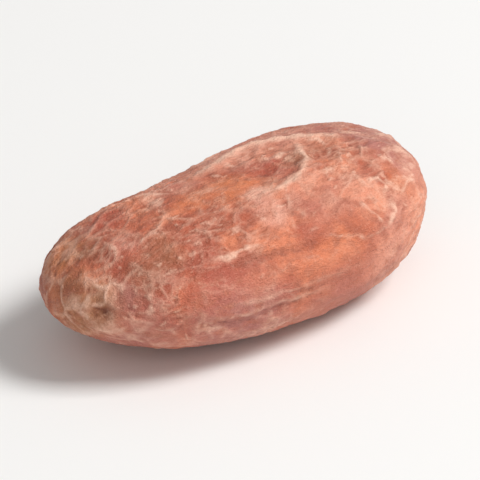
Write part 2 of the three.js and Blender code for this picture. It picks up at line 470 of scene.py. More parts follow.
PATCHES = {
    Mask.ORANGE: (
        Patch((-1.0, -6), 1.4),
        Patch((-3.4, 0), 1.2),
        Patch((8.0, -19), 1.1, 0.8),
        # Painted light: lightens the top strip above the hollow.
        Patch((3.2, 24), 2.0, 0.5),
        Patch((8.9, -49), 1.4, 0.8),
        Patch((2.4, -71), 1.5, 0.7),
        Patch((2.6, -88), 3.0, 0.6),
        Patch((-11.0, 24), 1.0, 0.9),
        Patch((-3.0, 120), 3.2, 0.8),
        Patch((6.0, 150), 3.0, 0.7),
        Patch((11.3, -100), 2.4, 0.7),
        Patch((12.0, 10), 1.4, 0.6),
    ),
    Mask.RED: (
        Patch((2.2, -3), 1.2, 1.0),
        Patch((1.0, 4), 1.2, 0.6),
        Patch((-8.2, 18), 1.7, 0.8),
        Patch((-6.0, -74), 2.4, 0.8),
        Patch((1.4, -44), 1.2, 0.6),
        Patch((-6.0, -45), 1.5, 0.6),
        Patch((4.0, 96), 2.6, 0.7),
        Patch((7.4, 6), 0.8, 0.8),
        Patch((9.0, -4), 1.3, 0.8),
        Patch((9.4, -22), 1.3, 0.6),
        Patch((-8.8, -48), 1.7, 0.8),
        Patch((-9.0, -16), 1.9, 0.7),
        Patch((-9.4, -66), 1.0, 0.6),
    ),
    Mask.UMBER: (
        Patch((-7.6, -30), 1.2, 0.9),
        Patch((-8.8, -40), 1.2, 0.8),
        Patch((-9.9, -52), 0.8, 0.8),
        Patch((-11.4, -70), 1.1, 0.8),
        Patch((-11.9, -16), 0.8, 0.6),
        Patch((-7.4, -34), 1.0, 0.8),
        Patch((-9.9, 6), 1.0, 0.7),
        Patch((-12.0, -95), 1.4, 0.6),
        Patch((3.7, -4), 0.8, 1.0),
        Patch((5.4, -2), 0.7, 0.6),
        Patch((-6.6, 128), 2.0, 0.7),
        Patch((11.0, 70), 2.4, 0.6),
        # Painted shadow: darkens the blunt end's top corner.
        Patch((9.8, -8), 2.2, 0.9),
    ),
    Mask.MAUVE: (
        # Painted shade: these two patches darken the strip above the rim, where the back side turns into
        # shade.
        Patch((-3.0, 26), 2.4, 0.4),
        Patch((4.4, 42), 3.2, 0.6),
        # Painted shadow: these four patches darken the blunt end's top corner.
        Patch((9.0, 24), 2.6, 0.8),
        Patch((10.6, 4), 2.4, 1.0),
        Patch((9.6, -12), 2.4, 1.0),
        Patch((9.6, -32), 1.5, 0.8),
        Patch((11.6, -40), 1.4, 0.4),
        # Painted shade: these three patches darken the underside, where shade falls.
        Patch((-9.6, -128), 2.6, 0.8),
        Patch((-4.4, -118), 3.4, 1.0),
        Patch((2.6, -126), 3.6, 0.7),
        Patch((-2.0, 170), 5.0, 0.7),
        Patch((-10.4, -64), 1.1, 0.7),
    ),
    Mask.OLIVE: (
        Patch((-10.6, 30), 1.6, 0.6),
        Patch((-12.2, -20), 1.7, 0.4),
        Patch((-11.6, -62), 1.5, 0.6),
        Patch((-12.2, -130), 1.4, 0.7),
        Patch((9.5, 90), 3.0, 0.7),
    ),
    Mask.PALE: (
        Patch((-0.4, -19), 0.8, 1.0),
        # Painted light: lightens the top strip above the hollow.
        Patch((1.2, 27), 2.0, 0.9),
        Patch((2.6, -30), 2.2, 0.4),
        Patch((-0.6, -32), 1.0, 1.0),
        Patch((5.2, -40), 1.8, 0.4),
        Patch((7.6, -66), 1.4, 0.6),
        Patch((-8.3, -6), 0.8, 0.6),
        Patch((9.8, -60), 1.6, 0.4),
        Patch((7.0, 112), 1.6, 0.8),
        Patch((10.8, -66), 2.0, 0.5),
        Patch((7.2, -96), 2.6, 0.6),
        # Painted light: lightens the top strip above the hollow.
        Patch((4.6, 23), 2.4, 0.5),
    ),
    Mask.SMOOTH: (
        Patch((3.6, -86), 3.8, 1.0),
        Patch((-4.6, -78), 2.6, 0.7),
        Patch((-0.6, -68), 2.4, 0.8),
        Patch((-2.2, -8), 1.8, 0.6),
        Patch((0.5, 100), 2.6, 0.7),
    ),
}


class SkinPoints:
    """The skin's mesh as arrays in millimetres, for work on all its points at once."""

    def __init__(self, piece: bpy.types.Object) -> None:
        """Reads a mesh.

        Args:
            piece: The mesh object, with its place in its mesh.
        """
        self.mesh = piece.data
        count = len(self.mesh.vertices)
        flat = np.empty(count * 3)
        self.mesh.vertices.foreach_get("co", flat)
        self.points = flat.reshape(count, 3) / MM
        ends = np.empty(len(self.mesh.edges) * 2, np.int64)
        self.mesh.edges.foreach_get("vertices", ends)
        self.ends = ends.reshape(-1, 2)
        self.neighbours = np.bincount(ends, minlength=count)

    def normals(self) -> np.ndarray:
        """Reads the mesh's normals.

        Returns:
            Outward unit normals, one in each row.
        """
        flat = np.empty(len(self.points) * 3, np.float32)
        self.mesh.vertex_normals.foreach_get("vector", flat)
        return flat.reshape(-1, 3).astype(float)

    def blurred(self, values: np.ndarray, rounds: int) -> np.ndarray:
        """Averages a value with its neighbours' values, over and over.

        Args:
            values: One value for each point.
            rounds: How many times the averaging is repeated.

        Returns:
            The blurred values.
        """
        first, second = self.ends.T
        count = len(values)
        for _ in range(rounds):
            total = np.bincount(first, values[second], count) + np.bincount(second, values[first], count)
            values = 0.5 * values + 0.5 * total / self.neighbours
        return values

    def store(self) -> None:
        """Writes the points back to the mesh."""
        self.mesh.vertices.foreach_set("co", (self.points * MM).ravel())
        self.mesh.update()

    def keep_mask(self, mask: Mask, values: np.ndarray) -> None:
        """Stores a mask on the mesh.

        Args:
            mask: Which mask it is.
            values: A share for each point, which is limited to 0 to 1.
        """
        layer = self.mesh.attributes.new(mask.value, "FLOAT", "POINT")
        layer.data.foreach_set("value", np.clip(values, 0.0, 1.0).astype(np.float32))


@dataclass(frozen=True)
class LineSet:
    """Thin lines from end to end, each of them stronger in some stretches than in others.

    Slant is how many line spacings a line drifts sideways over the bean's length. Lines sway with noise
    that is read on a ring for each place along the bean, and end in a tip near the long axis.
    """

    count: int
    slant: float
    width: float
    pattern: float
    ring: float = 1.3
    sway_length: float = 5.5
    sway: float = 0.9
    fine_sway: float = 0.3
    fine_sway_size: float = 0.3
    stretch_length: float = 3.2
    line_step: float = 7.3
    stretches: Span = Span(-0.35, 0.3)
    tip: Span = Span(0.6, 2.4)


@dataclass(frozen=True)
class Relief:
    """Fine relief of the skin over the form that the CAD node gives; sizes and heights are in millimetres.

    A loss is the share of a relief that is missing somewhere, and smooth_share is what is left of the lines,
    fibres and leather where the skin is smooth.
    """

    sway: Sway = Sway(0.35, 1.6, 1.0)
    swell: Noise = Noise((2.8, 2.0, 2.0), 9.0, 2)
    swell_height: float = 0.035
    veins: LineSet = LineSet(15, 0.0, 0.15, 10.0)
    vein_height: float = 0.07
    branches: tuple[LineSet, ...] = (LineSet(9, 2.6, 0.13, 20.0), LineSet(9, -2.2, 0.13, 30.0))
    branch_height: float = 0.04
    net: Cells = Cells((1.9, 1.25, 1.25), 1.0)
    net_patches: Clouds = Clouds(Noise((4.0, 3.0, 3.0), 5.0), Span(-0.25, 0.3))
    net_everywhere: float = 0.25
    net_in_patches: float = 0.55
    net_on_ends: float = 0.3
    net_width: float = 0.12
    net_height: float = 0.075
    fine_net: Cells = Cells((0.85, 0.6, 0.6), 2.0)
    fine_net_patches: Clouds = Clouds(Noise((2.6, 2.0, 2.0), 6.0), Span(-0.3, 0.25))
    fine_net_width: float = 0.16
    fine_net_height: float = 0.025
    fibre: Noise = Noise((1.3, 0.5, 0.5), 15.0, 2)
    fibre_height: float = 0.02
    fibre_end_loss: float = 0.5
    leather: Noise = Noise((0.9, 0.65, 0.65), 7.0, 2)
    leather_height: float = 0.026
    leather_end_loss: float = 0.4
    grain: Noise = Noise((0.24, 0.19, 0.19), 8.0)
    grain_height: float = 0.016
    fleck_edge: Span = Span(0.3, 0.42)
    fleck_height: float = 0.012
    crumb_height: float = 0.03
    pit: Cells = Cells((1.3, 1.3, 1.3), 3.0)
    pit_patches: Clouds = Clouds(Noise((1.3, 1.3, 1.3), 12.0), Span(0.1, 0.3))
    pit_width: float = 0.1
    pit_depth: float = 0.06
    smooth_share: float = 0.35
    blunt_end_loss: float = 0.35
    calm: Span = Span(0.0, 0.5)


@dataclass(frozen=True)
class Pulp:
    """Dried pulp on the skin: a soft haze with crisp flecks, crumbs, and pale lines that are worn in places.

    A shift above 0 makes the haze thicker, and a loss is the share of something that is missing. What is
    named drawn tells how pale a kind of line gets, from 0 to 1.
    """

    haze: Noise = Noise((2.6, 1.7, 1.7), 11.0, 4)
    haze_edge: Span = Span(-0.05, 0.5)
    haze_share: float = 0.52
    shift: float = -0.1
    ends_shift: float = 0.1
    hilum_end_shift: float = -0.35
    blunt_end_shift: float = -0.12
    smooth_shift: float = -0.2
    raised_shift: float = 1.2
    raised_limits: Limits = (-0.1, 0.15)
    flecks: Noise = Noise((0.75, 0.5, 0.5), 13.0, 4)
    fleck_edge: Span = Span(0.32, 0.44)
    fleck_shift: float = 0.2
    fleck_share: float = 0.55
    lone_fleck_share: float = 0.3
    hilum_end_loss: float = 0.85
    blunt_end_loss: float = 0.35
    crumbs: Noise = Noise((0.7, 0.42, 0.42), 16.0, 2)
    crumb_patches: Noise = Noise((2.4, 1.8, 1.8), 17.0)
    crumb_shift: float = 0.2
    crumb_edge: Span = Span(0.54, 0.68)
    crumb_drawn: float = 0.45
    unworn: Clouds = Clouds(Noise((1.4, 1.0, 1.0), 14.0, 2), Span(-0.3, 0.15))
    stroke_drawn: float = 0.9
    vein_drawn: float = 0.55
    net_drawn: float = 0.9
    fine_drawn: float = 0.5
    smooth_vein_share: float = 0.4
    clear_line_share: float = 0.5
    hilum_end_line_share: float = 0.6
    hilum_end_vein_loss: float = 0.65


class SkinLayers:
    """All layers of relief and of dried pulp, read once at each point of the skin."""

    def __init__(
        self, relief: Relief, pulp: Pulp, form: BodyForm, points: np.ndarray, smooth: np.ndarray
    ) -> None:
        """Reads the layers.

        Args:
            relief: Sizes and heights of the layers.
            pulp: How dried pulp lies on them.
            form: The smooth form under the wrinkles.
            points: Points in millimetres, one in each row.
            smooth: How smooth the skin is at each point, from 0 to 1.
        """
        self.relief = relief
        self.pulp = pulp
        self.points = points
        self.rough = 1 - smooth
        self.angle, self.reach = form.angles(points)
        self.length = form.length
        self.swayed = points + relief.sway.push(points)
        self.ends = form.ends.share(np.abs(points[:, 0]))
        self.hilum_end = form.hilum_end.share(-points[:, 0])
        self.blunt_end = form.blunt_end.share(points[:, 0])
        self.veins = self.lines(relief.veins)
        self.branches = np.maximum(*(self.lines(branches) for branches in relief.branches))
        border, _ = relief.net.read(self.swayed)
        spread = relief.net_everywhere + relief.net_in_patches * relief.net_patches.share(points)
        spread = np.clip(spread + relief.net_on_ends * self.ends, 0, 1)
        self.net = ridge(border, relief.net_width) * spread * self.rough
        border, _ = relief.fine_net.read(self.swayed)
        spread = relief.fine_net_patches.share(points)
        self.fine_net = ridge(border, relief.fine_net_width) * spread * self.rough
        self.fibres = relief.fibre.wrinkles(self.swayed)
        self.leather = relief.leather.wrinkles(self.swayed)
        self.grain = relief.grain.at(points)
        self.swell = relief.swell.at(points)
        self.haze = pulp.haze.at(points)
        self.flecks = pulp.flecks.at(points)
        crumbs = pulp.crumbs.at(self.swayed) + pulp.crumb_shift * pulp.crumb_patches.at(points)
        self.crumbs = pulp.crumb_edge.share(crumbs) * self.rough
        self.unworn = pulp.unworn.share(points)
        _, centre = relief.pit.read(points)
        self.pits = ridge(centre, relief.pit_width) * relief.pit_patches.share(points)

    def lines(self, lines: LineSet) -> np.ndarray:
        """Reads thin lines from end to end.

        Args:
            lines: The lines' sizes and pattern.

        Returns:
            A height from 0 to 1 for each point.
        """
        x, count = self.points[:, 0], lines.count
        around = lines.ring * np.cos(self.angle), lines.ring * np.sin(self.angle)
        ring = np.stack((x / lines.sway_length, *around), axis=1)
        fine = Noise((lines.fine_sway_size,) * 3, lines.pattern + 1)
        sway = lines.sway * Noise((1, 1, 1), lines.pattern).at(ring) + lines.fine_sway * fine.at(ring)
        row = count * self.angle / (2 * math.pi) + lines.slant * x / self.length + sway
        number = np.round(row)
        distance = (row - number) * 2 * math.pi * self.reach / count
        own_row = lines.line_step * np.mod(number, count)
        stretch = np.stack((x / lines.stretch_length, own_row, np.zeros_like(number)), axis=1)
        strength = lines.stretches.share(Noise((1, 1, 1), lines.pattern + 2).at(stretch))
        return ridge(distance, lines.width) * strength * lines.tip.share(self.reach)

    def height(self) -> np.ndarray:
        """Adds up the layers.

        Returns:
            How far each point is raised, in millimetres.
        """
        relief = self.relief
        raised = (
            relief.vein_height * self.veins
            + relief.branch_height * self.branches
            + relief.fibre_height * self.fibres * (1 - relief.fibre_end_loss * self.ends)
            + relief.leather_height * self.leather * (1 - relief.leather_end_loss * self.ends)
        )
        raised = raised * at_least(relief.smooth_share, self.rough) + relief.net_height * self.net
        raised = raised + relief.fine_net_height * self.fine_net
        return (
            raised * (1 - relief.blunt_end_loss * self.blunt_end)
            + relief.swell_height * self.swell
            + relief.grain_height * self.grain
            + relief.fleck_height * relief.fleck_edge.share(self.flecks)
            + relief.crumb_height * self.crumbs
            - relief.pit_depth * self.pits
        )

    def film(self, body: np.ndarray) -> tuple[np.ndarray, np.ndarray]:
        """Finds where dried pulp clouds the skin.

        Args:
            body: How far each point stands out of the bean's smooth body, in millimetres.

        Returns:
            The soft haze, and the film that it makes together with the crisp flecks, both from 0 to 1.
        """
        pulp = self.pulp
        raised = pulp.raised_shift * np.clip(body, *pulp.raised_limits)
        shift = (
            pulp.ends_shift * self.ends
            + pulp.hilum_end_shift * self.hilum_end
            + pulp.blunt_end_shift * self.blunt_end
            + pulp.shift
            + pulp.smooth_shift * (1 - self.rough)
        )
        haze = pulp.haze_edge.share(self.haze + raised + shift)
        flecks = pulp.fleck_edge.share(self.flecks + pulp.fleck_shift * haze) * self.rough
        film = pulp.haze_share * haze + pulp.fleck_share * flecks * at_least(pulp.lone_fleck_share, haze)
        return haze, film * (1 - pulp.hilum_end_loss * self.hilum_end - pulp.blunt_end_loss * self.blunt_end)

    def drawn(self, haze: np.ndarray) -> np.ndarray:
        """Finds how strongly raised lines are drawn in pale dried pulp.

        Args:
            haze: The soft haze, from 0 to 1.

        Returns:
            A share from 0 to 1 for each point.
        """
        pulp = self.pulp
        sparse = 1 - pulp.hilum_end_vein_loss * self.hilum_end
        veins = pulp.vein_drawn * self.veins * at_least(pulp.smooth_vein_share, self.rough) * sparse
        broad = np.maximum(veins, pulp.net_drawn * self.net)
        fine = pulp.fine_drawn * np.maximum(self.branches * self.rough * sparse, self.fine_net)
        hazy = at_least(pulp.clear_line_share, np.maximum(haze, pulp.hilum_end_line_share * self.hilum_end))
        return np.maximum(np.maximum(broad, fine) * self.unworn * hazy, pulp.crumb_drawn * self.crumbs)


@dataclass(frozen=True)
class Edges:
    """How much of a crest or a valley each point is, by how far it stands out of the skin round it.

    Rounds is how often the skin is blurred for that, and the spans are heights in millimetres. Valleys are
    darkened with painted shade in the finish.
    """

    rounds: int
    crest: Span
    crest_share: float
    valley: Span
    valley_share: float

    def crests(self, standing: np.ndarray) -> np.ndarray:
        """How much of a crest each point is."""
        return self.crest_share * self.crest.share(standing)

    def valleys(self, standing: np.ndarray) -> np.ndarray:
        """How much of a valley each point is."""
        return self.valley_share * self.valley.share(standing)


@dataclass(frozen=True)
class Texture:
    """Noise in a finish: the size of its blobs along X, Y and Z in millimetres, its detail and pattern."""

    size: Size
    detail: float
    pattern: float


# How far a texture's pattern is moved along X, Y and Z for each step of its number
TEXTURE_STEPS = (1.0, 1.7, 2.3)


class MixSocket(Enum):
    """Places of the sockets that a Mix node of colours uses, among its inputs and its outputs."""

    SHARE = 0
    FIRST_COLOUR = 6
    SECOND_COLOUR = 7
    MIXED_COLOUR = 2


class NodeSheet:
    """A material's nodes, added one after the other."""

    def __init__(self, name: str) -> None:
        """Starts a material with one shader.

        Args:
            name: The material's name.
        """
        self.material = bpy.data.materials.new(name)
        self.material.use_nodes = True
        self.tree = self.material.node_tree
        self.shader = self.tree.nodes["Principled BSDF"]
        self.places = self.tree.nodes.new("ShaderNodeTexCoord").outputs["Object"]
        self.textures: dict[Texture, Socket] = {}

    def link(self, source: Socket, target: Socket) -> None:
        """Joins two sockets."""
        self.tree.links.new(source, target)

    def feed(self, value: object, target: Socket) -> None:
        """Gives a socket a link where the value is a socket, and else a constant.

        Args:
            value: A socket, a number or a colour.
            target: The socket that takes it.
        """
        if isinstance(value, Socket):
            self.link(value, target)
        else:
            target.default_value = value

    def mask(self, mask: Mask) -> Socket:
        """Reads a mask that is stored on the mesh.

        Args:
            mask: Which mask it is.

        Returns:
            The socket with the mask, from 0 to 1.
        """
        node = self.tree.nodes.new("ShaderNodeAttribute")
        node.attribute_name = mask.value
        return node.outputs["Fac"]

    def noise(self, texture: Texture) -> Socket:
        """Adds noise on Object coordinates, once for each texture.

        Args:
            texture: The noise's sizes, detail and pattern.

        Returns:
            The socket with the noise, from 0 to 1.
        """
        if texture in self.textures:
            return self.textures[texture]
        mapping = self.tree.nodes.new("ShaderNodeMapping")
        mapping.inputs["Scale"].default_value = [1 / (side * MM) for side in texture.size]
        mapping.inputs["Location"].default_value = [texture.pattern * step for step in TEXTURE_STEPS]
        self.link(self.places, mapping.inputs["Vector"])
        node = self.tree.nodes.new("ShaderNodeTexNoise")
        node.inputs["Scale"].default_value = 1.0
        node.inputs["Detail"].default_value = texture.detail
        self.link(mapping.outputs["Vector"], node.inputs["Vector"])
        self.textures[texture] = node.outputs["Fac"]
        return self.textures[texture]

    def maths(self, operation: str, first: object, second: object) -> Socket:
        """Adds a Math node on two values.

        Args:
            operation: What the node does with them.
            first: A number, or a socket with one.
            second: A number, or a socket with one.

        Returns:
            The socket with the result.
        """
        node = self.tree.nodes.new("ShaderNodeMath")
        node.operation = operation
        self.feed(first, node.inputs[0])
        self.feed(second, node.inputs[1])
        return node.outputs["Value"]

    def times(self, first: Socket, second: object) -> Socket:
        """Product of a value and another value or a number."""
        return self.maths("MULTIPLY", first, second)

    def plus(self, first: Socket, second: Socket) -> Socket:
        """Sum of two values."""
        return self.maths("ADD", first, second)

    def fitted(self, value: Socket, span: Span, limits: Limits) -> Socket:
        """Stretches a span of values to other limits, smoothly and never past them.

        Args:
            value: The value to read.
            span: Where the value starts and ends.
            limits: Results at the span's start and at its end.

        Returns:
            The socket with the result.
        """
        node = self.tree.nodes.new("ShaderNodeMapRange")
        node.interpolation_type = "SMOOTHSTEP"
        numbers = (span.start, span.end, *limits)
        for name, number in zip(("From Min", "From Max", "To Min", "To Max"), numbers):
            node.inputs[name].default_value = number
        self.link(value, node.inputs["Value"])
        return node.outputs["Result"]

    def between(self, value: Socket, span: Span) -> Socket:
        """A share that rises from 0 at the span's start to 1 at its end."""
        return self.fitted(value, span, (0.0, 1.0))

    def mix(self, share: Socket, first: object, second: object) -> Socket:
        """Mixes two colours.

        Args:
            share: How much of the second colour there is, from 0 to 1.
            first: A colour, or a socket with one.
            second: A colour, or a socket with one.

        Returns:
            The socket with the mixed colour.
        """
        node = self.tree.nodes.new("ShaderNodeMix")
        node.data_type = "RGBA"
        self.link(share, node.inputs[MixSocket.SHARE.value])
        self.feed(first, node.inputs[MixSocket.FIRST_COLOUR.value])
        self.feed(second, node.inputs[MixSocket.SECOND_COLOUR.value])
        return node.outputs[MixSocket.MIXED_COLOUR.value]

    def bump(self, height: Socket, distance: float, strength: float) -> None:
        """Gives the shader fine relief.

        Args:
            height: The relief's height, from 0 to 1.
            distance: Real height of a full step, in metres.
            strength: How much of it shows.
        """
        node = self.tree.nodes.new("ShaderNodeBump")
        node.inputs["Strength"].default_value = strength
        node.inputs["Distance"].default_value = distance
        self.link(height, node.inputs["Height"])
        self.link(node.outputs["Normal"], self.shader.inputs["Normal"])


@dataclass(frozen=True)
class Specks:
    """Specks of a colour, where a texture's value is past a span."""

    texture: Texture
    edge: Span
    colour: Colour
    most: float = 1.0

    def over(self, sheet: NodeSheet, colour: object, most: Socket | None = None) -> Socket:
        """Lays the specks over a colour.

        Args:
            sheet: The material's nodes.
            colour: The colour under them, or a socket with one.
            most: A socket with how much of the specks shows at most, where that isn't a single number.

        Returns:
            The socket with the new colour.
        """
        share = sheet.between(sheet.noise(self.texture), self.edge)
        share = sheet.times(share, self.most if most is None else most)
        return sheet.mix(share, colour, self.colour)


@dataclass(frozen=True)
class Coat:
    """A colour laid on where a mask is high, and worn by a texture down to a least share of it."""

    mask: Mask
    colour: Colour
    most: float
    texture: Texture
    edge: Span
    least: float

    def over(self, sheet: NodeSheet, colour: object) -> Socket:
        """Lays the coat over a colour.

        Args:
            sheet: The material's nodes.
            colour: The colour under it, or a socket with one.

        Returns:
            The socket with the new colour.
        """
        worn = sheet.fitted(sheet.noise(self.texture), self.edge, (self.least, 1.0))
        share = sheet.times(sheet.times(sheet.mask(self.mask), worn), self.most)
        return sheet.mix(share, colour, self.colour)


@dataclass(frozen=True)
class SkinFinish:
    """Dry seed skin with a faint satin: brick red to salmon, with pale dried pulp on its ridges."""

    brick: Colour = srgb(184, 94, 66)
    salmon: Colour = srgb(223, 130, 93)
    deep: Colour = srgb(150, 78, 54)
    pale: Colour = srgb(232, 168, 146)
    film: Colour = srgb(240, 186, 158)
    pulp: Colour = srgb(248, 200, 174)
    # Painted shade: this dark colour goes into valleys and sunken lines, where shade falls, and into the
    # hilum's own darker middle.
    crease: Colour = srgb(108, 50, 36)
    crease_share: float = 0.7
    tints: tuple[tuple[Mask, Colour, float], ...] = (
        # The mauve, umber, orange and pale tints also paint shade and light on the patches marked so in the
        # patch table.
        (Mask.ORANGE, srgb(214, 118, 70), 0.7),
        (Mask.RED, srgb(176, 76, 56), 0.85),
        (Mask.UMBER, srgb(142, 84, 56), 0.85),
        (Mask.MAUVE, srgb(182, 116, 106), 0.9),
        (Mask.OLIVE, srgb(168, 118, 74), 0.75),
        (Mask.PALE, pale, 0.8),
    )
    tint_edge: Span = Span(0.32, 0.58)
    tint_least: float = 0.35
    blotch: Texture = Texture((2.6, 1.7, 1.7), 3, 0.0)
    blotch_edge: Span = Span(0.38, 0.62)
    mottle: Texture = Texture((0.75, 0.5, 0.5), 6, 3.0)
    speck: Texture = Texture((0.2, 0.14, 0.14), 3, 6.0)
    thread: Texture = Texture((0.8, 0.14, 0.14), 3, 9.0)
    grit: Texture = Texture((0.1, 0.065, 0.065), 2, 15.0)
    grain: Texture = Texture((0.12, 0.08, 0.08), 4, 12.0)
    shadows: Specks = Specks(mottle, Span(0.56, 0.4), deep, 0.42)
    threads: tuple[Specks, ...] = (
        Specks(thread, Span(0.54, 0.7), pale),
        Specks(thread, Span(0.46, 0.3), deep),
    )
    thread_shares: Limits = (0.14, 0.04)
    specks: tuple[Specks, ...] = (
        Specks(speck, Span(0.42, 0.3), deep, 0.22),
        Specks(speck, Span(0.6, 0.7), pale, 0.2),
        Specks(grit, Span(0.45, 0.3), deep, 0.28),
        Specks(grit, Span(0.58, 0.7), pale, 0.2),
    )
    coats: tuple[Coat, ...] = (
        Coat(Mask.CREST, pale, 0.4, speck, Span(0.36, 0.62), 0.0),
        Coat(Mask.FILM, film, 0.5, speck, Span(0.35, 0.62), 0.25),
        Coat(Mask.LINE, pulp, 1.0, speck, Span(0.3, 0.55), 0.65),
    )
    roughness: Limits = (0.5, 0.72)
    roughness_edge: Span = Span(0.3, 0.7)
    crest_polish: float = -0.1
    specular: float = 0.42
    sheen: float = 0.08
    sheen_roughness: float = 0.45
    sheen_tint: Colour = srgb(250, 222, 216)
    bump_height: float = 0.09 * MM
    bump_strength: float = 0.9
    bump_share: float = 0.8

    def colour(self, sheet: NodeSheet) -> Socket:
        """Lays the skin's colours over each other.

        Args:
            sheet: The material's nodes.

        Returns:
            The socket with the whole colour.
        """
        colour = sheet.mix(sheet.between(sheet.noise(self.blotch), self.blotch_edge), self.brick, self.salmon)
        colour = self.shadows.over(sheet, colour)
        for mask, tint, most in self.tints:
            colour = Coat(mask, tint, most, self.mottle, self.tint_edge, self.tint_least).over(sheet, colour)
        coarse = sheet.fitted(sheet.mask(Mask.SMOOTH), Span(0.0, 1.0), self.thread_shares)
        for threads in self.threads:
            colour = threads.over(sheet, colour, coarse)
        for layer in (*self.specks, *self.coats):
            colour = layer.over(sheet, colour)
        # Painted shade: darkens valleys and sunken lines with the dark colour above.
        return sheet.mix(sheet.times(sheet.mask(Mask.CREASE), self.crease_share), colour, self.crease)

    def material(self) -> bpy.types.Material:
        """Builds the finish.

        Returns:
            The material, which reads the masks on the skin and Object coordinates.
        """
        sheet = NodeSheet("bean_skin_finish")
        sheet.link(self.colour(sheet), sheet.shader.inputs["Base Color"])
        polish = sheet.times(sheet.mask(Mask.CREST), self.crest_polish)
        rough = sheet.fitted(sheet.noise(self.mottle), self.roughness_edge, self.roughness)
        sheet.link(sheet.plus(polish, rough), sheet.shader.inputs["Roughness"])
        constants = {
            "Specular IOR Level": self.specular,
            "Sheen Weight": self.sheen,
            "Sheen Roughness": self.sheen_roughness,
            "Sheen Tint": self.sheen_tint,
        }
        for name, value in constants.items():
            sheet.shader.inputs[name].default_value = value
        height = sheet.noise(self.grain)
        for texture in (self.speck, self.thread):
            height = sheet.plus(height, sheet.times(sheet.noise(texture), self.bump_share))
        sheet.bump(height, self.bump_height, self.bump_strength)
        return sheet.material


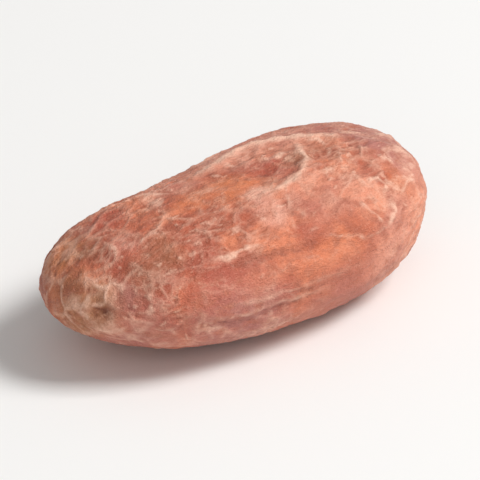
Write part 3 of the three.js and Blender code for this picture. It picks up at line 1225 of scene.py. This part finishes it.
@dataclass
class CocoaBean:
    """The whole bean in its skin, one closed mesh that keeps the form of the CAD node.

    Rounds are how often something is blurred over the skin's mesh, and sharpening is how much of the form's
    fine part is added to it once more.
    """

    node: bpy.types.Object
    form: BodyForm = field(default_factory=BodyForm)
    relief: Relief = field(default_factory=Relief)
    pulp: Pulp = field(default_factory=Pulp)
    finish: SkinFinish = field(default_factory=SkinFinish)
    hand: Hand = field(default_factory=Hand)
    hilum: Hilum = field(default_factory=Hilum)
    parts: tuple[int, int, int] = (27, 14, 9)
    levels: int = 3
    guide_levels: int = 2
    same_point: float = 0.002 * MM
    fit_rounds: int = 10
    sharpening: float = 0.5
    sharpening_rounds: int = 30
    body_rounds: int = 60
    near: Edges = Edges(12, Span(0.01, 0.07), 0.6, Span(-0.015, -0.065), 0.7)
    wide: Edges = Edges(80, Span(0.02, 0.16), 0.5, Span(-0.04, -0.18), 0.4)

    def guide(self) -> bpy.types.Object:
        """Makes a smooth copy of the CAD node, for the skin to be fitted to.

        Returns:
            The copy, which is removed once the skin is fitted.
        """
        copy = bpy.data.objects.new("form_guide", self.node.data.copy())
        bpy.context.scene.collection.objects.link(copy)
        select_only(copy)
        bpy.ops.object.mode_set(mode="EDIT")
        bpy.ops.mesh.select_all(action="SELECT")
        bpy.ops.mesh.remove_doubles(threshold=self.same_point)
        bpy.ops.object.mode_set(mode="OBJECT")
        self.subdivide(copy, self.guide_levels)
        return copy

    @staticmethod
    def subdivide(piece: bpy.types.Object, levels: int) -> None:
        """Applies Subdivision Surface to a piece.

        Args:
            piece: The mesh object.
            levels: How many times its faces are split.
        """
        select_only(piece)
        smooth = piece.modifiers.new("smooth", "SUBSURF")
        smooth.levels = smooth.render_levels = levels
        bpy.ops.object.modifier_apply(modifier=smooth.name)

    def split_along(self, axis: int, parts: int) -> None:
        """Splits the edges that run along one axis of the block in edit mode.

        Args:
            axis: 0, 1 or 2 for X, Y or Z.
            parts: How many parts each edge gets.
        """
        block = bmesh.from_edit_mesh(bpy.context.active_object.data)
        for edge in block.edges:
            run = edge.verts[0].co - edge.verts[1].co
            edge.select_set(abs(run[axis]) > PARALLEL * run.length)
        bmesh.update_edit_mesh(bpy.context.active_object.data)
        bpy.ops.mesh.subdivide(number_cuts=parts - 1)
        bpy.ops.mesh.select_all(action="DESELECT")

    def ball(self) -> bpy.types.Object:
        """Shapes a cube into a smooth oval of even faces that fills the CAD node's box.

        Returns:
            The oval, in its place.
        """
        low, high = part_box(NODE)
        bpy.ops.object.select_all(action="DESELECT")
        bpy.ops.mesh.primitive_cube_add(size=2)
        piece = bpy.context.active_object
        piece.name = piece.data.name = "cocoa_bean"
        bpy.ops.object.mode_set(mode="EDIT")
        bpy.ops.mesh.select_mode(type="EDGE")
        bpy.ops.mesh.select_all(action="DESELECT")
        for axis, parts in enumerate(self.parts):
            self.split_along(axis, parts)
        bpy.ops.mesh.select_all(action="SELECT")
        bpy.ops.transform.tosphere(value=1.0)
        bpy.ops.object.mode_set(mode="OBJECT")
        corner = max(vertex.co.length for vertex in piece.data.vertices)
        piece.scale = (high - low) / (2 * corner)
        piece.location = (high + low) / 2
        bpy.ops.object.transform_apply(location=True, rotation=True, scale=True)
        self.subdivide(piece, self.levels)
        return piece

    def fitted(self) -> tuple[bpy.types.Object, np.ndarray]:
        """Fits the oval to the CAD node's form, without the edges of the node's flat faces.

        Returns:
            The skin, and how far each of its points moved outwards, in millimetres.
        """
        piece, guide = self.ball(), self.guide()
        before = SkinPoints(piece)
        normals = before.normals()
        select_only(piece)
        wrap = piece.modifiers.new("wrap", "SHRINKWRAP")
        wrap.target = guide
        wrap.wrap_method = "PROJECT"
        wrap.use_negative_direction = wrap.use_positive_direction = True
        bpy.ops.object.modifier_apply(modifier=wrap.name)
        bpy.data.objects.remove(guide)
        after = SkinPoints(piece)
        moved = after.blurred(((after.points - before.points) * normals).sum(axis=1), self.fit_rounds)
        moved += self.sharpening * (moved - after.blurred(moved, self.sharpening_rounds))
        after.points = before.points + moved[:, None] * normals
        after.points[:, 2] = np.maximum(after.points[:, 2], 0.0)
        after.store()
        return piece, moved

    def trace(self, tree: BVHTree, path: Sequence[Place]) -> np.ndarray:
        """Finds points along a path on the skin.

        Args:
            tree: The skin's faces, in millimetres.
            path: Places on the skin.

        Returns:
            Points on the skin in millimetres, close together.
        """
        knots = np.asarray(path, float)
        steps = np.linspace(0, len(knots) - 1, self.hand.steps * len(knots))
        places = np.stack([np.interp(steps, range(len(knots)), side) for side in knots.T], axis=1)
        for _ in range(self.hand.rounding):
            places[1:-1] = (places[:-2] + 2 * places[1:-1] + places[2:]) / 4
        return np.array([self.spot(tree, place) for place in places])

    def spot(self, tree: BVHTree, place: Sequence[float]) -> Vector:
        """Finds one place on the skin.

        Args:
            tree: The skin's faces, in millimetres.
            place: The place's x and angle.

        Returns:
            The point in millimetres.
        """
        section = self.form.section(np.float64(place[0]))
        middle_y, middle_z, half_width, half_thickness = (float(value) for value in section)
        middle = Vector((place[0], middle_y, middle_z))
        angle = math.radians(place[1])
        outwards = Vector((0, half_width * math.sin(angle), half_thickness * math.cos(angle)))
        found = tree.ray_cast(middle, outwards.normalized())[0]
        return found if found else middle

    def tinted(self, tree: BVHTree, points: np.ndarray, mask: Mask) -> np.ndarray:
        """Finds where the skin takes on a tint.

        Args:
            tree: The skin's faces, in millimetres.
            points: Points in millimetres, one in each row.
            mask: Which tint it is.

        Returns:
            A share from 0 to 1 for each point.
        """
        share = np.zeros(len(points))
        for patch in PATCHES[mask]:
            distance = np.linalg.norm(points - np.array(self.spot(tree, patch.at)), axis=1)
            share = np.maximum(share, patch.strength * PATCH_EDGE.share(distance / patch.size))
        return share

    def drawn_strokes(self, tree: BVHTree, layers: SkinLayers) -> tuple[np.ndarray, np.ndarray, np.ndarray]:
        """Draws the single crests and creases, and the hilum.

        Args:
            tree: The skin's faces, in millimetres.
            layers: The skin's layers, which hold its points.

        Returns:
            How far each point is raised in millimetres, and how pale and how dark it gets, from 0 to 1; the
            dark is painted shade in sunken lines, plus the hilum's own darker middle.
        """
        hand, hilum, points = self.hand, self.hilum, layers.points
        height, pale, dark = (np.zeros(len(points)) for _ in range(3))
        pushed = hand.follow * layers.swayed + (1 - hand.follow) * points + hand.ragged.push(points)
        for number, stroke in enumerate(STROKES):
            distance, share = self.distances(pushed, self.trace(tree, stroke.path))
            near = distance < hand.reach * stroke.width
            distance, share, here = distance[near], share[near], points[near]
            spread = hand.width_middle + hand.width_spread * hand.width_noise.at(here, number)
            crest = ridge(distance, stroke.width * np.clip(spread, *hand.width_limits))
            foot = ridge(distance, hand.foot_width * stroke.width)
            fade = hand.end_fade.share(np.minimum(share, 1 - share))
            height[near] += stroke.height * fade * ((1 - hand.foot_share) * crest + hand.foot_share * foot)
            shade = pale if stroke.height > 0 else dark
            drawn = stroke.drawn * fade * at_least(stroke.whole, hand.unworn.share(here, number)) * crest
            shade[near] = np.maximum(shade[near], drawn)
        distance = np.linalg.norm(pushed - np.array(self.spot(tree, hilum.at)), axis=1)
        ring = ridge(distance - hilum.radius, hilum.ring_width)
        pale = np.maximum(pale, hilum.ring_drawn * ring * hilum.ring_unworn.share(points))
        dark = np.maximum(dark, hilum.middle_drawn * ridge(distance, hilum.middle_width))
        return height + hilum.ring_height * ring, pale, dark

    def texture(self, piece: bpy.types.Object, fit: np.ndarray) -> None:
        """Adds the fine relief and stores the masks.

        Args:
            piece: The fitted skin.
            fit: How far each of its points moved outwards when it was fitted, in millimetres.
        """
        skin = SkinPoints(piece)
        points = skin.points.copy()
        faces = [tuple(face.vertices) for face in piece.data.polygons]
        tree = BVHTree.FromPolygons([tuple(point) for point in points], faces)
        smooth = self.tinted(tree, points, Mask.SMOOTH)
        layers = SkinLayers(self.relief, self.pulp, self.form, points, smooth)
        line_height, line_pale, line_dark = self.drawn_strokes(tree, layers)
        height = (layers.height() + line_height) * self.relief.calm.share(points[:, 2])
        skin.points = points + height[:, None] * skin.normals()
        skin.points[:, 2] = np.maximum(skin.points[:, 2], 0.0)
        skin.store()
        total = fit + height
        near, wide = (total - skin.blurred(total, edges.rounds) for edges in (self.near, self.wide))
        skin.keep_mask(Mask.CREST, self.near.crests(near) + self.wide.crests(wide))
        # Painted shade: valleys and sunken lines are stored as a mask that the finish darkens; the hilum's
        # own darker middle goes in with them.
        valleys = self.near.valleys(near) * (1 - line_dark) + self.wide.valleys(wide)
        skin.keep_mask(Mask.CREASE, np.maximum(valleys, line_dark))
        haze, film = layers.film(fit - skin.blurred(fit, self.body_rounds))
        skin.keep_mask(Mask.FILM, film)
        skin.keep_mask(Mask.LINE, np.maximum(self.pulp.stroke_drawn * line_pale, layers.drawn(haze)))
        for mask in PATCHES:
            skin.keep_mask(mask, self.tinted(tree, layers.swayed, mask))

    @staticmethod
    def distances(points: np.ndarray, line: np.ndarray) -> tuple[np.ndarray, np.ndarray]:
        """Measures how far points are from a line.

        Args:
            points: Points, one in each row.
            line: Points along the line, one in each row.

        Returns:
            Each point's distance from the line, and how far along the line it lies, from 0 to 1.
        """
        nearest = np.full(len(points), np.inf)
        share = np.zeros(len(points))
        for number in range(len(line) - 1):
            run = line[number + 1] - line[number]
            along = np.clip((points - line[number]) @ run / max(run @ run, SHORTEST), 0, 1)
            distance = np.linalg.norm(points - line[number] - along[:, None] * run, axis=1)
            closer = distance < nearest
            nearest[closer] = distance[closer]
            share[closer] = (number + along[closer]) / (len(line) - 1)
        return nearest, share

    def build(self) -> bpy.types.Object:
        """Makes the bean, hangs it under the root body and hides the CAD node.

        Returns:
            The finished piece.
        """
        piece, fit = self.fitted()
        self.texture(piece, fit)
        piece.data.materials.append(self.finish.material())
        select_only(piece)
        bpy.ops.object.shade_smooth()
        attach(piece, "root")
        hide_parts(NODE)
        return piece


@dataclass(frozen=True)
class Lamp:
    """A square light that faces the bean: its place and side in metres, and its power."""

    name: str
    place: Size
    side: float
    watts: float

    def build(self) -> bpy.types.Object:
        """Hangs the light.

        Returns:
            The light.
        """
        light = bpy.data.lights.new(self.name, "AREA")
        light.size = self.side
        light.energy = self.watts
        holder = bpy.data.objects.new(self.name, light)
        holder.location = self.place
        holder.rotation_euler = (-Vector(self.place)).to_track_quat("-Z", "Y").to_euler()
        bpy.context.scene.collection.objects.link(holder)
        return holder


@dataclass
class Studio:
    """A pale floor under large, soft lights."""

    floor_side: float = 3.0
    floor_colour: Colour = srgb(240, 239, 237)
    floor_roughness: float = 0.8
    lamps: tuple[Lamp, ...] = (
        Lamp("key_light", (0.24, -0.2, 0.38), 0.2, 2.16),
        Lamp("fill_light", (-0.3, -0.34, 0.24), 0.4, 0.45),
    )
    glow_colour: Colour = (1.0, 1.0, 1.0, 1.0)
    glow_strength: float = 0.36

    def floor(self) -> bpy.types.Object:
        """Lays the floor at the height of the surface that the bean rests on.

        Returns:
            The floor.
        """
        bpy.ops.object.select_all(action="DESELECT")
        bpy.ops.mesh.primitive_plane_add(size=self.floor_side)
        floor = bpy.context.active_object
        floor.name = "floor"
        sheet = NodeSheet("floor_finish")
        sheet.shader.inputs["Base Color"].default_value = self.floor_colour
        sheet.shader.inputs["Roughness"].default_value = self.floor_roughness
        floor.data.materials.append(sheet.material)
        return floor

    def build(self) -> None:
        """Makes the floor, the lights and the glow all round."""
        self.floor()
        for lamp in self.lamps:
            lamp.build()
        world = bpy.data.worlds.new("studio_glow")
        bpy.context.scene.world = world
        world.use_nodes = True
        glow = world.node_tree.nodes["Background"]
        glow.inputs["Color"].default_value = self.glow_colour
        glow.inputs["Strength"].default_value = self.glow_strength
        bpy.context.scene.view_settings.view_transform = "Standard"


@dataclass
class Viewpoint:
    """The camera, which looks at the bean from the photograph's viewing angle."""

    azimuth: float = -38.2
    elevation: float = 30.0
    distance: float = 0.4
    frame_width: float = 27.0 * MM
    nearest: float = 0.01
    farthest: float = 10.0

    def build(self) -> bpy.types.Object:
        """Places the camera.

        Returns:
            The camera.
        """
        turn, tilt = math.radians(self.azimuth), math.radians(self.elevation)
        back = Vector((math.sin(turn) * math.cos(tilt), -math.cos(turn) * math.cos(tilt), math.sin(tilt)))
        low, high = CAD_BOX
        data = bpy.data.cameras.new("camera")
        data.lens = data.sensor_width * self.distance / self.frame_width
        data.clip_start, data.clip_end = self.nearest, self.farthest
        camera = bpy.data.objects.new("camera", data)
        camera.location = (low + high) / 2 + back * self.distance
        camera.rotation_euler = back.to_track_quat("Z", "Y").to_euler()
        bpy.context.scene.collection.objects.link(camera)
        bpy.context.scene.camera = camera
        return camera


def main() -> None:
    """Builds the camera, the studio and the bean."""
    logging.basicConfig(level=logging.INFO, format="%(name)s: %(message)s")
    log.info("camera %s", Viewpoint().build().name)
    Studio().build()
    log.info("studio ready")
    bean = CocoaBean(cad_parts[NODE]).build()
    log.info("%s: %d faces", bean.name, len(bean.data.polygons))


if __name__ == "__main__":
    main()
